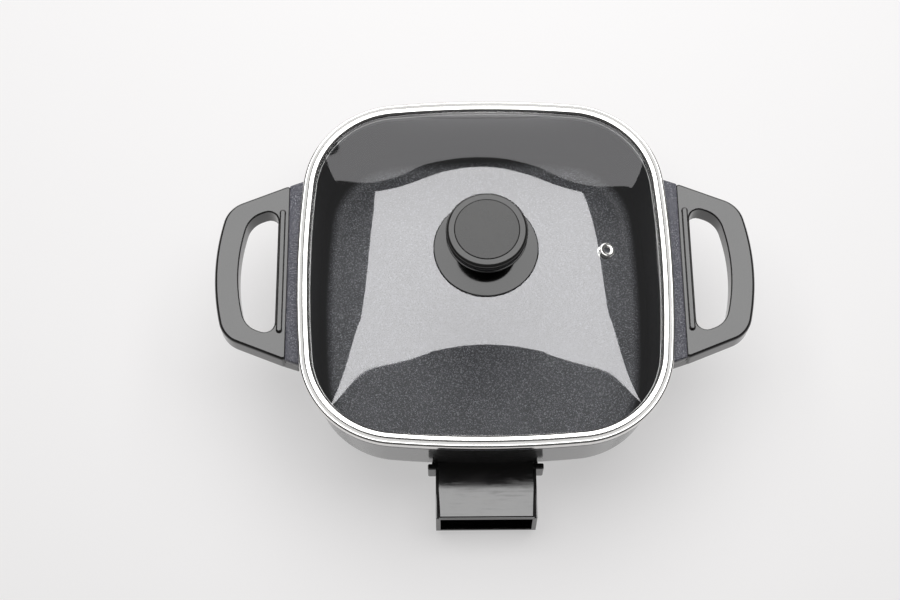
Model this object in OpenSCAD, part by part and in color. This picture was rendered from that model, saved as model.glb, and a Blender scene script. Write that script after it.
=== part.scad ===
// Square electric skillet with a lift-off glass lid.
// Frame: origin on the table under the middle of the overall width and depth,
// +Z up, the control socket faces -Y and the two loop handles lie along X.
// Millimetres. Everything is drawn round the middle of the pan, which `placed`
// moves back by frame_y.

/* [Plan outline] */
// Half width of the lid's bright bead, measured at the middle of a side
path_half = 141.2; // [120:0.2:170]
// Radius of the rounded corners of that outline
corner_r = 69.9; // [45:0.1:90]

/* [Heights] */
// Height of the lid's rim plane above the table
rim_z = 112; // [105:1:130]
// Drop from the rim plane to the pan's flange and lug tops
flange_drop = 6; // [5:0.5:8]
// Depth of the cooking floor below the rim plane
floor_drop = 80; // [70:1:82]

/* [Pan] */
// Wall and floor thickness of the casting
pan_wall = 3.8; // [3:0.1:5]
// Draft of the side walls in degrees, inside
pan_draft = 7; // [6:0.5:9]
// Draft of the side walls in degrees, outside
skin_draft = 5.5; // [4:0.5:6]
// Offset of the mouth's inner edge outside the bead outline
mouth_out = 2.8; // [2:0.1:4]
// Radius between the floor and the walls, inside
floor_fillet = 16; // [12:1:20]
// Radius between the base and the walls, outside
base_fillet = 15; // [12:1:18]
// Offset of the flange's outer edge outside the bead outline
flange_out = 8.3; // [7:0.1:10]
// Thickness of the flange
flange_t = 4.4; // [3:0.2:6]

/* [Lugs and handles] */
// Distance from the middle of the pan to the joint of lug and handle
seam_x = 158; // [156:0.5:162]
// Half length of that joint
seam_half = 75.2; // [70:0.2:80]
// Thickness of the cast lug
lug_t = 8; // [6:0.5:10]
// Thickness of the handle
handle_t = 21; // [18:0.5:24]
// Distance from the middle of the pan to the outside of the handle
handle_x = 215.6; // [210:0.2:225]
// Width of the grip at its middle
grip_w = 18.8; // [15:0.2:20]
// Radius of the grip's lower edges
grip_round = 5; // [2:0.5:6]
// Radius of the grip's upper outer edge
grip_edge = 2.6; // [0.5:0.1:3]
// Size of the bevel round the upper edge of the finger opening
hole_edge = 1.5; // [0.5:0.1:2]

/* [Control socket] */
// Outer width of the socket shroud
shroud_w = 80.6; // [70:0.2:90]
// Outer height of the socket shroud
shroud_h = 32; // [28:1:34]
// Drop from the rim plane to the top of the shroud
shroud_drop = 70; // [69:1:74]
// Distance from the middle of the pan to the shroud's upper front edge
shroud_y = 187; // [180:1:195]
// Distance between the two terminal pins
pin_pitch = 33.3; // [30:0.1:36]
// Radius of a terminal pin
pin_r = 2.4; // [2:0.1:3]
// Radius of the bore that takes the sensing rod
sensor_r = 4; // [3:0.1:4.5]

/* [Heating element] */
// Radius of the element's sheath
element_r = 4; // [3:0.1:4]
// Half width of the element's loop
element_half = 76; // [60:1:85]

/* [Feet] */
// Half distance between the feet along a side
foot_at = 85; // [70:1:88]
// Height of a foot
foot_h = 20; // [16:1:22]

/* [Lid] */
// Height of the glass crown above the rim plane
crown = 39.2; // [30:0.2:45]
// Tightness of the dome's shoulders: 4 is soft, 9 is tight
shoulder = 6.3; // [4:0.1:9]
// Thickness of the glass
glass_t = 4; // [3:0.5:5]
// Distance of the vent to the right of the middle of the lid
vent_x = 95; // [80:1:105]
// Distance of the vent behind the middle line
vent_y = 3.2; // [0:0.2:6]

/* [Knob] */
// Radius of the knob
knob_r = 31.2; // [28:0.2:34]
// Height of the knob's top above the rim plane
knob_top = 72; // [64:0.5:76]
// Radius of the skirt between knob and glass
skirt_r = 40.9; // [34:0.2:44]

/* [Hidden] */

// Fineness of the swept arcs, and of small round pieces
arc_fn = 256;
round_fn = 96;
// Overlap where two solids of one piece are joined
joined = 1;
// Gap round a pin or disc in the hole that holds it
slack = 0.05;

// --- plan outline: four bowed sides and four corners, all tangent arcs ---
// The line from a side arc's centre to a corner arc's centre is the long side
// of a 44 : 483 : 485 right triangle, so the arcs meet on round numbers.
rise_share = 44;
run_share = 483;
arm_share = 485;
outline_unit = (path_half - corner_r) / (arm_share - run_share + rise_share);
corner_c = rise_share * outline_unit;
side_r = arm_share * outline_unit + corner_r;
side_k = side_r - path_half;
side_ang = atan2(rise_share, run_share);
// Where the cuts between the arcs end, measured from a corner's centre
cut_run = run_share / 5;
cut_rise = rise_share / 5;

// --- pan section ---
flange_z = rim_z - flange_drop;
floor_z = rim_z - floor_drop;
base_z = floor_z - pan_wall;
skin_out = mouth_out + pan_wall / cos(pan_draft);
// Offset at which the floor takes over from the walls, and its overlap there
floor_out = -16;
floor_lap = 8;

// --- fasteners ---
screw_r = 1.95;
tapped_r = 2;
clear_r = 2.3;
head_r = 3.8;
head_h = 2.4;
head_taper = 0.6;
slot_l = 4.8;
slot_w = 1;
slot_depth = 1.2;
// How far a screw goes past the face of the pan's floor, and its hole past it
grip_in = 1;
hole_past = 0.4;

// --- lugs and handles ---
lug_in_x = 143.6;
lug_in_half = seam_half + 5.2;
lug_gap = 0.3;
lug_hole = 6;
lug_grip = 5;
handle_z = flange_z - handle_t;
tongue_x = 147.6;
handle_screw_x = 152.6;
handle_screw_y = 58;
tongue_counterbore = 4;
rib_h = 2.4;
rib_w = 4.9;
rib_half = 53;
rib_taper = 1;
rib_gap = 2;
tongue_in_half = 2;

// --- control socket ---
shroud_top = rim_z - shroud_drop;
shroud_z = shroud_top - shroud_h;
shroud_side = 3.7;
shroud_plate = 2.4;
// Drop from the shroud's top to the top plate's underside, and to its back edge
shroud_roof = 3.6;
shroud_sunk = 0.4;
// Thickness of the plate behind the lip, and of the lip
shroud_web = 1.2;
shroud_rim = 1.4;
// How far the mouth's lower edge stands out before its upper one
shroud_lip = 1.9;
shroud_back = 141.8;
ear_t = 5;
ear_half = 46.6;
ear_h = 21;
tab_x = 36;
tab_y = 113;
tab_w = 15;
tab_t = 3;
tab_boss_r = 6;

// --- heating element ---
element_z = base_z - element_r - 0.2;
element_rib = 13;
element_rib_end = 118;
element_corner = 28;
element_bend = 14;
element_end = 146;
pin_root_r = 2;
pin_root_l = 6;
pin_end = 178;
pin_tip = 0.8;
insulator_r = 3.8;
insulator_l = 5;
sleeve_wall = 1.5;
sleeve_front = 132;
sleeve_back = 100;
sleeve_end = 2;
sensor_boss = 17;
sensor_boss_front = 122;
sensor_boss_l = 30;

// --- feet ---
foot_top_r = 11;
foot_base_r = 8.5;
foot_recess_r = 5;
foot_web = 6;

// --- lid ---
glass_edge_out = 4.6;
glass_edge_drop = 0.8;
glass_edge_z = rim_z - glass_edge_drop;
crown_z = rim_z + crown;
glass_rings = 11;
// The dome's bow, how far it eases towards the sides, and its fall to the corners
dome_bow = 1.03;
dome_ease = 0.85;
dome_corner = 0.62;
// Size of the flat land that the knob sits on, as a share of the glass
land_share = 0.09;
hem_gap = 0.2;
hem_z = flange_z + hem_gap;
hem_out = 8.8;
hem_t = 0.8;
hem_bend = 1.4;
hem_bend_z = -1.5;
bead_w = 5;
bead_top = 0.9;
bead_bow = 8.8;
bead_under = -0.75;
glass_seat = glass_edge_out + 0.3;
leg_top = -glass_edge_drop - glass_t - slack;
tongue_in = 1.6;
tongue_drop = 3;

// --- vent ---
vent_r = 6.5;
vent_hole_r = 3;
vent_neck_r = 4.2;
vent_lip = 1.1;
vent_grip = 0.4;
vent_bevel = 1.4;

// --- knob ---
cap_r = 24.7;
cap_t = 2;
cap_sunk = 0.6;
cap_edge = 0.3;
gasket_r = 12;
gasket_t = 0.8;
washer_r = 9;
washer_t = 1.2;
skirt_t = 1.8;
skirt_edge = 1.2;
skirt_gap = 0.3;
skirt_flat_r = 20;
knob_z1 = rim_z + knob_top;
// Heights on the knob, measured down from its top
knob_edge_r = 2.4;
knob_rim_h = 8.8;
knob_bead_drop = 10.8;
knob_bead_r = 1.5;
knob_under_drop = 12.4;
neck_r = 19.5;
neck_step = 0.8;
waist_drop = 23.6;
waist_hollow_r = 7.2;
waist_hollow_x = 22.6;
glass_hole_r = 4.2;
knob_screw_r = 2.5;
knob_screw_in = 15;
knob_screw_clear = 0.2;

// --- shapes that repeat ---

// Sweeps a profile round the plan outline. The profile's x is its offset
// outside the outline and its y is the height.
module around_outline() {
    tall = 4 * rim_z;
    cut_x = corner_c + cut_run;
    cut_y = corner_c + cut_rise;
    cut_end = cut_x + cut_rise;
    for (quarter = [0:3]) rotate(90 * quarter) {
        intersection() {
            translate([-side_k, 0, 0]) rotate(180) rotate_extrude($fn = arc_fn)
                translate([side_r, 0]) children();
            translate([0, 0, -rim_z]) linear_extrude(tall) polygon([
                [corner_c, corner_c], [corner_c, -corner_c], [cut_x, -cut_y], [cut_x, cut_y]
            ]);
        }
        intersection() {
            translate([corner_c, corner_c, 0]) rotate_extrude($fn = arc_fn)
                translate([corner_r, 0]) children();
            translate([0, 0, -rim_z]) linear_extrude(tall) polygon([
                [corner_c, corner_c], [cut_x, cut_y], [cut_end, cut_end], [cut_y, cut_x]
            ]);
        }
    }
}

// The plan outline as a filled shape, grown by an offset
module outline_fill(grow) {
    reach = (side_r + grow) * sin(side_ang);
    for (turn = [0, 90]) rotate(turn) intersection() {
        translate([-side_k, 0]) circle(side_r + grow, $fn = arc_fn);
        translate([side_k, 0]) circle(side_r + grow, $fn = arc_fn);
        square([4 * path_half, 2 * reach], center = true);
    }
    for (sx = [-1, 1], sy = [-1, 1])
        translate([sx * corner_c, sy * corner_c])
            circle(corner_r + grow, $fn = arc_fn);
}

// Half section of a bowl: a drafted wall that ends at `mouth` in the flange's
// plane and turns in at the radius r to a bottom at the height z
module bowl_half(mouth, draft, z, r) {
    centre = [mouth - (flange_z - z - r) * tan(draft) - r / cos(draft), z + r];
    polygon([
        [floor_out - floor_lap, z], [centre[0], z], centre,
        centre + r * [cos(draft), -sin(draft)],
        [mouth, flange_z], [floor_out - floor_lap, flange_z]
    ]);
    translate(centre) intersection() {
        circle(r, $fn = round_fn);
        translate([0, -r]) square(r);
    }
}

module inner_half() {
    bowl_half(mouth_out, pan_draft, floor_z, floor_fillet);
}

module pan_section() {
    difference() {
        bowl_half(skin_out, skin_draft, base_z, base_fillet);
        inner_half();
    }
    difference() {
        union() {
            translate([mouth_out, flange_z - flange_t])
                square([flange_out - mouth_out - flange_t / 2, flange_t]);
            translate([flange_out - flange_t / 2, flange_z - flange_t / 2])
                circle(flange_t / 2, $fn = round_fn);
        }
        inner_half();
    }
}

// Runs a section along the element: up from the front, round a square loop
module along_element(front) {
    bend_x = pin_pitch / 2 + element_bend;
    turn = element_half - element_corner;
    for (side = [0, 1]) mirror([side, 0, 0]) {
        translate([pin_pitch / 2, -element_half - element_bend, 0]) rotate([90, 0, 0])
            linear_extrude(front - element_half - element_bend) children();
        translate([bend_x, -element_half - element_bend, 0]) rotate(90)
            rotate_extrude(angle = 90, $fn = arc_fn)
                translate([element_bend, 0]) children();
        translate([bend_x, -element_half, 0]) rotate([90, 0, 90])
            linear_extrude(turn - bend_x) children();
        translate([turn, -turn, 0]) rotate(-90)
            rotate_extrude(angle = 90, $fn = arc_fn)
                translate([element_corner, 0]) children();
        translate([element_half, turn, 0]) rotate([90, 0, 0])
            linear_extrude(2 * turn) children();
        translate([turn, turn, 0])
            rotate_extrude(angle = 90, $fn = arc_fn)
                translate([element_corner, 0]) children();
        translate([0, element_half, 0]) rotate([90, 0, 90])
            linear_extrude(turn) children();
    }
}

// One pan-head screw, its head's seat at z = 0 and its shank going up
module screw(length, r = screw_r) {
    translate([0, 0, -head_h]) difference() {
        cylinder(h = head_h, r1 = head_r - head_taper, r2 = head_r, $fn = round_fn);
        for (turn = [0, 90]) rotate(turn)
            translate([-slot_l / 2, -slot_w / 2, -1]) cube([slot_l, slot_w, slot_depth + 1]);
    }
    cylinder(h = length, r = r, $fn = round_fn);
}

// --- pan ---

module element_rib_section() {
    difference() {
        translate([-element_rib / 2, element_z])
            square([element_rib, base_z + joined - element_z]);
        translate([0, element_z]) circle(element_r + slack, $fn = round_fn);
    }
}

module lug() {
    linear_extrude(lug_t) polygon([
        [lug_in_x, -lug_in_half],
        [seam_x - lug_gap, -seam_half],
        [seam_x - lug_gap, seam_half],
        [lug_in_x, lug_in_half]
    ]);
}

module pan() {
    color([0.16, 0.17, 0.19]) difference() {
        union() {
            around_outline() pan_section();
            translate([0, 0, base_z]) linear_extrude(pan_wall)
                outline_fill(floor_out - floor_lap / 2);
            for (side = [0, 1]) mirror([side, 0, 0])
                translate([0, 0, flange_z - lug_t]) lug();
            along_element(front = element_rib_end) element_rib_section();
            translate([-sensor_boss / 2, -sensor_boss_front, element_z - sensor_boss / 2]) cube([
                sensor_boss, sensor_boss_l, base_z + joined - element_z + sensor_boss / 2]);
            for (sx = [-1, 1]) translate([sx * tab_x, -tab_y, shroud_z + tab_t])
                cylinder(h = base_z + joined - shroud_z - tab_t, r = tab_boss_r, $fn = round_fn);
            for (sx = [-1, 1], sy = [-1, 1])
                translate([sx * foot_at, sy * foot_at, foot_h])
                    cylinder(h = base_z + joined - foot_h, r = foot_base_r, $fn = round_fn);
        }
        translate([0, -sleeve_back, element_z]) rotate([90, 0, 0])
            cylinder(h = sleeve_front - sleeve_back, r = sensor_r + sleeve_wall, $fn = round_fn);
        for (side = [-1, 1], end = [-1, 1])
            translate([side * handle_screw_x, end * handle_screw_y, flange_z - lug_t - 1])
                cylinder(h = lug_hole + 1, r = tapped_r, $fn = round_fn);
        for (sx = [-1, 1]) translate([sx * tab_x, -tab_y, shroud_z])
            cylinder(h = base_z + grip_in + hole_past - shroud_z, r = tapped_r, $fn = round_fn);
        for (sx = [-1, 1], sy = [-1, 1]) translate([sx * foot_at, sy * foot_at, 0])
            cylinder(h = base_z + grip_in + hole_past, r = tapped_r, $fn = round_fn);
    }
}

// --- heating element and its terminals ---

module heating_element() {
    color([0.55, 0.53, 0.5]) along_element(front = element_end)
        translate([0, element_z]) circle(element_r, $fn = round_fn);
}

module terminal_pin(side) {
    color([0.78, 0.78, 0.76])
        translate([side * pin_pitch / 2, -element_end, element_z]) rotate([90, 0, 0]) {
            cylinder(h = pin_root_l, r = pin_root_r, $fn = round_fn);
            translate([0, 0, pin_root_l]) cylinder(
                h = pin_end - element_end - pin_tip - pin_root_l, r = pin_r, $fn = round_fn);
            translate([0, 0, pin_end - element_end - pin_tip])
                cylinder(h = pin_tip, r1 = pin_r, r2 = pin_r - pin_tip, $fn = round_fn);
        }
}

module insulator(side) {
    color([0.93, 0.91, 0.86])
        translate([side * pin_pitch / 2, -element_end, element_z]) rotate([90, 0, 0])
            difference() {
                cylinder(h = insulator_l, r = insulator_r, $fn = round_fn);
                translate([0, 0, -1]) cylinder(h = insulator_l + 2, r = pin_root_r + slack,
                    $fn = round_fn);
            }
}

module sensor_sleeve() {
    color([0.72, 0.72, 0.7])
        translate([0, -sleeve_back, element_z]) rotate([90, 0, 0]) difference() {
            cylinder(h = sleeve_front - sleeve_back, r = sensor_r + sleeve_wall - slack,
                $fn = round_fn);
            translate([0, 0, sleeve_end])
                cylinder(h = sleeve_front - sleeve_back, r = sensor_r, $fn = round_fn);
        }
}

// --- shroud round the control socket ---

module shroud_side_wall() {
    // side view: the mouth leans out a little towards the bottom
    rotate([90, 0, 90]) linear_extrude(shroud_side) polygon([
        [-shroud_back, shroud_z],
        [-shroud_y - shroud_lip, shroud_z],
        [-shroud_y, shroud_top],
        [-shroud_back, shroud_top]
    ]);
}

// Side view of the top plate: it slopes down to the front, behind a thin lip
module shroud_top_plate() {
    under = shroud_top - shroud_roof;
    lean = shroud_lip * shroud_roof / shroud_h;
    polygon([
        [-shroud_back, under], [-shroud_y - lean, under],
        [-shroud_y, shroud_top], [-shroud_y + shroud_rim, shroud_top],
        [-shroud_y + shroud_rim, under + shroud_web], [-shroud_back, shroud_top - shroud_sunk]
    ]);
}

module probe_shroud() {
    inner = shroud_w / 2 - shroud_side;
    color([0.1, 0.1, 0.1]) difference() {
        union() {
            translate([inner, 0, 0]) shroud_side_wall();
            translate([-inner - shroud_side, 0, 0]) shroud_side_wall();
            translate([-inner - joined, 0, 0]) rotate([90, 0, 90])
                linear_extrude(2 * (inner + joined)) shroud_top_plate();
            // floor of the socket
            translate([-inner - joined, -shroud_y - shroud_lip, shroud_z])
                cube([2 * (inner + joined), shroud_y + shroud_lip - shroud_back, shroud_plate]);
            // mounting ears against the pan
            for (side = [0, 1]) mirror([side, 0, 0])
                translate([inner + joined, -shroud_back - ear_t, shroud_top - ear_h])
                    cube([ear_half - inner - joined, ear_t, ear_h]);
            // tabs that reach under the pan
            for (side = [0, 1]) mirror([side, 0, 0])
                translate([tab_x - tab_w / 2, -shroud_back - joined, shroud_z]) {
                    cube([tab_w, shroud_back + joined - tab_y, tab_t]);
                    translate([tab_w / 2, shroud_back + joined - tab_y, 0])
                        cylinder(h = tab_t, r = tab_w / 2, $fn = round_fn);
                }
        }
        for (side = [-1, 1]) translate([side * tab_x, -tab_y, shroud_z - 1])
            cylinder(h = tab_t + 2, r = clear_r, $fn = round_fn);
    }
}

module shroud_screws() {
    color([0.7, 0.7, 0.7]) for (side = [-1, 1])
        translate([side * tab_x, -tab_y, shroud_z])
            screw(length = base_z + grip_in - shroud_z);
}

// --- handles ---

function arc_points(centre, r, from, to, steps) =
    [for (i = [0:steps]) let (a = from + (to - from) * i / steps)
        centre + r * [cos(a), sin(a)]];

function mirrored(points) = [for (i = [len(points) - 1:-1:0]) [points[i][0], -points[i][1]]];

// A loop with two corners near the pan, two far corners and a bowed far
// side: near and far are [x, y, radius] of the corners above the X axis,
// reach is the far side's x, bow its radius. inset draws the far part in.
function loop_outline(near, far, reach, bow, inset) =
    let (
        gap = [far[0] - near[0], far[1] - near[1]],
        lean = atan2(gap[1], gap[0]) + acos((near[2] - far[2]) / norm(gap)),
        bow_x = reach - bow,
        meet = atan2(far[1], far[0] - bow_x),
        upper = concat(
            arc_points([bow_x, 0], bow - inset, 0, meet, 8),
            arc_points([far[0], far[1]], far[2] - inset, meet, lean, 12),
            arc_points([near[0], near[1]], near[2], lean, 180, 5)
        )
    )
    concat(upper, mirrored(upper));

far_r = 24;
far_bow = 190;
far_x = 187.1;
far_y = sqrt(pow(far_bow - far_r, 2) - pow(far_x - handle_x + far_bow, 2));
hole_near = [174.4, 44, 8];
hole_round = 3;
hole_bow = 150;
hole_far_r = 19;
hole_far_x = 173.7;
hole_reach = handle_x - grip_w;
hole_far_y = sqrt(pow(hole_bow - hole_far_r, 2) - pow(hole_far_x - hole_reach + hole_bow, 2));
near_r = 1.6;
slice_t = 0.01;

module grip_slice(z, inset) {
    translate([0, 0, z]) linear_extrude(slice_t) polygon(loop_outline(
        [seam_x + lug_gap + near_r, seam_half - near_r - inset, near_r],
        [far_x, far_y, far_r], handle_x, far_bow, inset));
}

module hole_slice(z, grow, h = slice_t) {
    translate([0, 0, z]) linear_extrude(h) polygon(loop_outline(
        [hole_near[0], hole_near[1], hole_near[2] + grow],
        [hole_far_x, hole_far_y, hole_far_r], hole_reach, hole_bow, -grow));
}

module handle() {
    difference() {
        union() {
            // the loop, rounder below than above
            hull() {
                for (a = [0:22.5:90]) grip_slice(
                    handle_z + grip_round * (1 - sin(a)), grip_round * (1 - cos(a)));
                for (a = [0:30:90]) grip_slice(
                    flange_z - slice_t - grip_edge * (1 - sin(a)), grip_edge * (1 - cos(a)));
            }
            // tongue that runs on under the lug
            translate([0, 0, handle_z]) linear_extrude(handle_t - lug_t) polygon([
                [tongue_x, -lug_in_half + tongue_in_half],
                [seam_x + 2, -seam_half + 1],
                [seam_x + 2, seam_half - 1],
                [tongue_x, lug_in_half - tongue_in_half]
            ]);
            // bead between the joint and the finger opening
            hull() for (end = [-1, 1]) translate([
                seam_x + lug_gap + rib_gap + rib_w / 2, end * (rib_half - rib_w / 2),
                flange_z - joined])
                cylinder(h = rib_h + joined, r1 = rib_w / 2, r2 = rib_w / 2 - rib_taper, $fn = 24);
        }
        hole_slice(handle_z - 1, 0, handle_t + 2);
        hull() {
            hole_slice(flange_z - hole_edge, 0);
            hole_slice(flange_z - 0.3 * hole_edge, 0.3 * hole_edge);
            hole_slice(flange_z + slice_t, hole_edge);
        }
        hull() {
            hole_slice(handle_z + hole_round, 0);
            hole_slice(handle_z + 0.3 * hole_round, 0.3 * hole_round);
            hole_slice(handle_z - slice_t, hole_round);
        }
        for (end = [-1, 1]) translate([handle_screw_x, end * handle_screw_y, handle_z - 1]) {
            cylinder(h = handle_t, r = clear_r, $fn = round_fn);
            cylinder(h = tongue_counterbore + 1, r = head_r + clear_r - screw_r, $fn = round_fn);
        }
    }
}

module handle_left() {
    color([0.12, 0.12, 0.12]) mirror([1, 0, 0]) handle();
}

module handle_right() {
    color([0.12, 0.12, 0.12]) handle();
}

module handle_screws() {
    color([0.7, 0.7, 0.7]) for (side = [-1, 1], end = [-1, 1])
        translate([side * handle_screw_x, end * handle_screw_y, handle_z + tongue_counterbore])
            screw(length = handle_t - tongue_counterbore - lug_t + lug_grip);
}

// --- feet ---

module foot(sx, sy) {
    color([0.1, 0.1, 0.1]) translate([sx * foot_at, sy * foot_at, 0])
        rotate_extrude($fn = round_fn) difference() {
            polygon([
                [0, 0], [foot_base_r - 1, 0], [foot_base_r, 1],
                [foot_top_r, foot_h - 2], [foot_top_r, foot_h], [0, foot_h]
            ]);
            translate([-1, -1]) square([foot_recess_r + 1, foot_h - foot_web + 1]);
            translate([-1, -1]) square([clear_r + 1, foot_h + 2]);
        }
}

module foot_screws() {
    color([0.7, 0.7, 0.7]) for (sx = [-1, 1], sy = [-1, 1])
        translate([sx * foot_at, sy * foot_at, foot_h - foot_web])
            screw(length = base_z + grip_in - foot_h + foot_web);
}

// --- lid ---

// Height of the dome's upper face. `edge` is a point on the outline where the
// dome ends, its half width counted as 1, and `share` how far out from the
// middle towards that point. The dome is a shallow crown, which a shoulder
// brings down to the level edge.
glass_flat = path_half - 1;
function sag(p) = dome_bow * p * p - dome_ease * (pow(p[0], 4) + pow(p[1], 4))
    + dome_corner * pow(p[0] * p[1], 2);
function dome(edge, share) = crown_z - (crown_z - glass_edge_z)
    * (sag(share * edge) + (1 - sag(edge)) * pow(share, shoulder));
land_z = dome([1, 0], land_share);
knob_z0 = land_z + gasket_t + skirt_t;

// Points round the glass's edge, arc by arc
glass_corner_r = corner_r + glass_edge_out;
glass_side_r = side_r + glass_edge_out;
function edge_quarter() = concat(
    [for (i = [0:7]) let (a = side_ang * (-1 + i / 4))
        [glass_side_r * cos(a) - side_k, glass_side_r * sin(a)]],
    [for (i = [0:15]) let (a = side_ang + (90 - 2 * side_ang) * i / 16)
        [corner_c + glass_corner_r * cos(a), corner_c + glass_corner_r * sin(a)]]
);
function turned(p, quarter) =
    quarter == 0 ? p : turned([-p[1], p[0]], quarter - 1);
glass_edge = [for (quarter = [0:3], p = edge_quarter()) turned(p, quarter)];

flat_share = glass_flat / (path_half + glass_edge_out);

module glass_blank() {
    n = len(glass_edge);
    shares = concat([1], [for (i = [0:glass_rings])
        flat_share * (land_share + (1 - land_share) * cos(90 * i / glass_rings))]);
    rings = len(shares);
    function level(i, p) = i == 0 ? glass_edge_z : i == rings - 1 ? land_z
        : dome(p * flat_share / glass_flat, shares[i] / flat_share);
    upper = [for (i = [0:rings - 1], p = glass_edge)
        [shares[i] * p[0], shares[i] * p[1], level(i, p)]];
    lower = [for (p = upper) p - [0, 0, glass_t]];
    count = rings * n;
    function tri(a, b, c, flip) = flip ? [a, c, b] : [a, b, c];
    function skin(base, tip, flip) = concat(
        [for (i = [0:rings - 2], j = [0:n - 1]) let (k = (j + 1) % n, q = base + i * n)
            each [tri(q + j, q + j + n, q + k, flip), tri(q + k, q + j + n, q + k + n, flip)]],
        [for (j = [0:n - 1]) let (k = (j + 1) % n, q = base + (rings - 1) * n)
            tri(q + j, tip, q + k, flip)]
    );
    top_tip = 2 * count;
    polyhedron(
        points = concat(upper, lower, [[0, 0, land_z], [0, 0, land_z - glass_t]]),
        faces = concat(
            skin(0, top_tip, false),
            skin(count, top_tip + 1, true),
            [for (j = [0:n - 1]) let (k = (j + 1) % n)
                each [[j, k, count + j], [k, count + k, count + j]]]
        ),
        convexity = 4
    );
}

// Place and lean of the vent on the dome
vent_share = vent_x / glass_flat;
vent_edge = [1, vent_y / vent_x];
vent_z = dome(vent_edge, vent_share);
vent_step = 0.01;
vent_lean = atan((dome(vent_edge, vent_share - vent_step)
    - dome(vent_edge, vent_share + vent_step)) / (2 * vent_step * glass_flat));

module at_vent() {
    translate([vent_x, vent_y, vent_z])
        rotate([0, vent_lean, atan(vent_y / vent_x)]) children();
}

module lid_glass() {
    color([0.75, 0.8, 0.82, 0.35]) difference() {
        glass_blank();
        translate([0, 0, land_z - 2 * glass_t])
            cylinder(h = 4 * glass_t, r = glass_hole_r, $fn = round_fn);
        at_vent() translate([0, 0, -3 * glass_t])
            cylinder(h = 6 * glass_t, r = vent_neck_r + 2 * slack, $fn = round_fn);
    }
}

// Section of the folded steel band, its height measured from the rim plane
module band_section() {
    // broad bright bead that clamps the glass
    intersection() {
        translate([bead_w / 2, bead_top - bead_bow]) circle(bead_bow, $fn = arc_fn);
        translate([0, bead_under]) square([bead_w, bead_top + 1]);
    }
    // shoulder that steps down to the rounded hem
    polygon([
        [glass_seat, bead_under - 1], [bead_w - 0.1, bead_under], [bead_w - 0.1, 0.15],
        [hem_out - hem_bend, hem_bend_z + hem_bend], [hem_out - hem_t, bead_under - 1]
    ]);
    translate([hem_out - hem_bend, hem_bend_z]) intersection() {
        circle(hem_bend, $fn = round_fn);
        translate([-0.5, -1]) square([hem_bend + 1, hem_bend + 1]);
    }
    translate([hem_out - hem_t, hem_z - rim_z]) square([hem_t, hem_bend_z - hem_z + rim_z]);
    // web round the edge of the glass and leg under it
    translate([glass_seat, hem_z - rim_z]) square([hem_t, rim_z - hem_z + bead_under]);
    translate([-tongue_in, hem_z - rim_z])
        square([glass_seat + tongue_in + hem_t / 2, leg_top - hem_z + rim_z]);
    // tongue that centres the lid in the mouth of the pan
    translate([-tongue_in, flange_z - rim_z - tongue_drop])
        square([hem_t, tongue_drop + leg_top + flange_drop]);
}

module lid_rim() {
    color([0.85, 0.85, 0.84]) around_outline()
        translate([0, rim_z]) band_section();
}

module vent_eyelet() {
    color([0.8, 0.8, 0.78]) at_vent() difference() {
        union() {
            cylinder(h = vent_lip, r1 = vent_r, r2 = vent_r - vent_bevel, $fn = round_fn);
            translate([0, 0, -glass_t - vent_grip - vent_lip / 2])
                cylinder(h = glass_t + vent_grip + vent_lip, r = vent_neck_r, $fn = round_fn);
            translate([0, 0, -glass_t - vent_grip - vent_lip])
                cylinder(h = vent_lip, r1 = vent_r - vent_bevel, r2 = vent_r, $fn = round_fn);
        }
        translate([0, 0, -3 * glass_t]) cylinder(h = 6 * glass_t, r = vent_hole_r, $fn = round_fn);
    }
}

// --- knob ---

module knob_skirt() {
    under = land_z + gasket_t;
    hole = knob_screw_r + knob_screw_clear;
    rim = dome([1, 0], skirt_r / glass_flat) + skirt_gap;
    color([0.13, 0.13, 0.13]) rotate_extrude($fn = arc_fn) {
        polygon([
            [hole, under], [hole, knob_z0],
            [skirt_flat_r, knob_z0], [skirt_r - skirt_edge, rim + skirt_edge],
            [skirt_r - skirt_edge, rim], [skirt_flat_r, under]
        ]);
        translate([skirt_r - skirt_edge, rim]) intersection() {
            circle(skirt_edge, $fn = round_fn);
            square(skirt_edge);
        }
    }
}

module knob() {
    under = knob_z1 - knob_under_drop;
    color([0.12, 0.12, 0.12]) rotate_extrude($fn = arc_fn) difference() {
        union() {
            // neck with a hollow waist, flaring up into the head
            difference() {
                polygon([
                    [0, knob_z0], [neck_r, knob_z0], [neck_r, knob_z0 + neck_step],
                    [neck_r - 4.5, knob_z1 - 18], [knob_r - 6.2, knob_z1 - 14],
                    [knob_r - 2, under + 0.4], [knob_r - 2, knob_z1 - 8], [0, knob_z1 - 8]
                ]);
                translate([waist_hollow_x, knob_z1 - waist_drop])
                    circle(waist_hollow_r, $fn = round_fn);
            }
            // head: a thin bead below, a groove, and the rim with a rounded top edge
            translate([0, under]) square([knob_r - 1.6, 3]);
            translate([knob_r - 0.4 - knob_bead_r, knob_z1 - knob_bead_drop])
                circle(knob_bead_r, $fn = round_fn);
            translate([0, knob_z1 - knob_rim_h])
                square([knob_r, knob_rim_h - knob_edge_r]);
            translate([0, knob_z1 - knob_rim_h])
                square([knob_r - knob_edge_r, knob_rim_h]);
            translate([knob_r - knob_edge_r, knob_z1 - knob_edge_r])
                circle(knob_edge_r, $fn = round_fn);
        }
        // seat of the cap and the tapped hole
        translate([-1, knob_z1 - cap_sunk - cap_t]) square([cap_r + 1 + slack, 2 * cap_t]);
        translate([-1, knob_z0 - 1]) square([knob_screw_r + 1 + slack, knob_screw_in + 4]);
    }
}

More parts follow.
